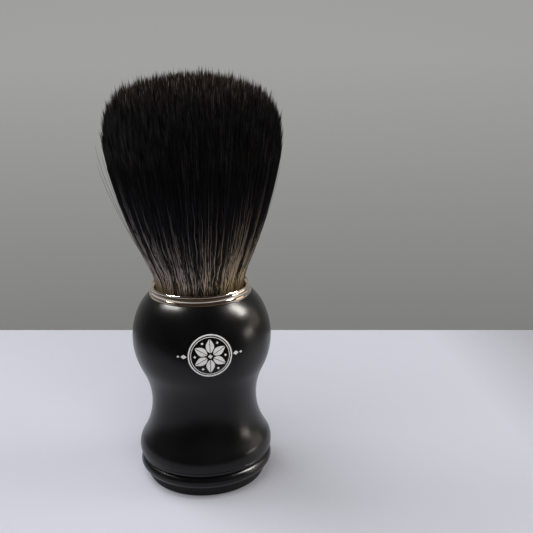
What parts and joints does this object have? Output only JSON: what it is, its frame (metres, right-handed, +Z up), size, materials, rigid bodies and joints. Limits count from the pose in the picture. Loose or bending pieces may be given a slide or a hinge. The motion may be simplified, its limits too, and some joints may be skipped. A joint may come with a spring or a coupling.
{
  "type": "shaving brush",
  "caption": "Shaving brush with a waisted black handle on a beaded, weighted foot, a plated collar, and a dense knot of soft dark hair that flares to a rounded crown.",
  "frame": {"origin": "centre of the foot, on the surface the brush stands on", "axes": "+Z up along the axis of the handle, from the foot to the hair; the brush is turned about Z, and X is the direction that the hair bends in"},
  "size_m": [0.044, 0.044, 0.106],
  "materials": {
    "satin_black": "satin",
    "foot_rubber": "matte",
    "ballast_steel": "satin",
    "pad_foam": "matte",
    "plated_collar": "polished",
    "adhesive": "gloss",
    "cup_plastic": "matte",
    "thread": "matte",
    "hair": "satin"
  },
  "bodies": {
    "handle": {"base_cap": "satin_black", "handle_body": "satin_black", "foot_disc": "foot_rubber", "ballast_weight": "ballast_steel", "ballast_pad": "pad_foam", "collar": "plated_collar", "socket_adhesive": "adhesive", "knot_cup": "cup_plastic", "knot_resin": "adhesive", "knot_binding": "thread", "hair_root": "hair"},
    "hair": {"hair_tuft": "hair"}
  },
  "joints": [
    {"name": "hair_bend", "type": "hinge", "parent": "handle", "child": "hair", "pos_m": [0, 0, 0.052], "axis": [0, 1, 0], "range_deg": [-20, 20], "stiffness_Nm_per_rad": 0.09}
  ]
}
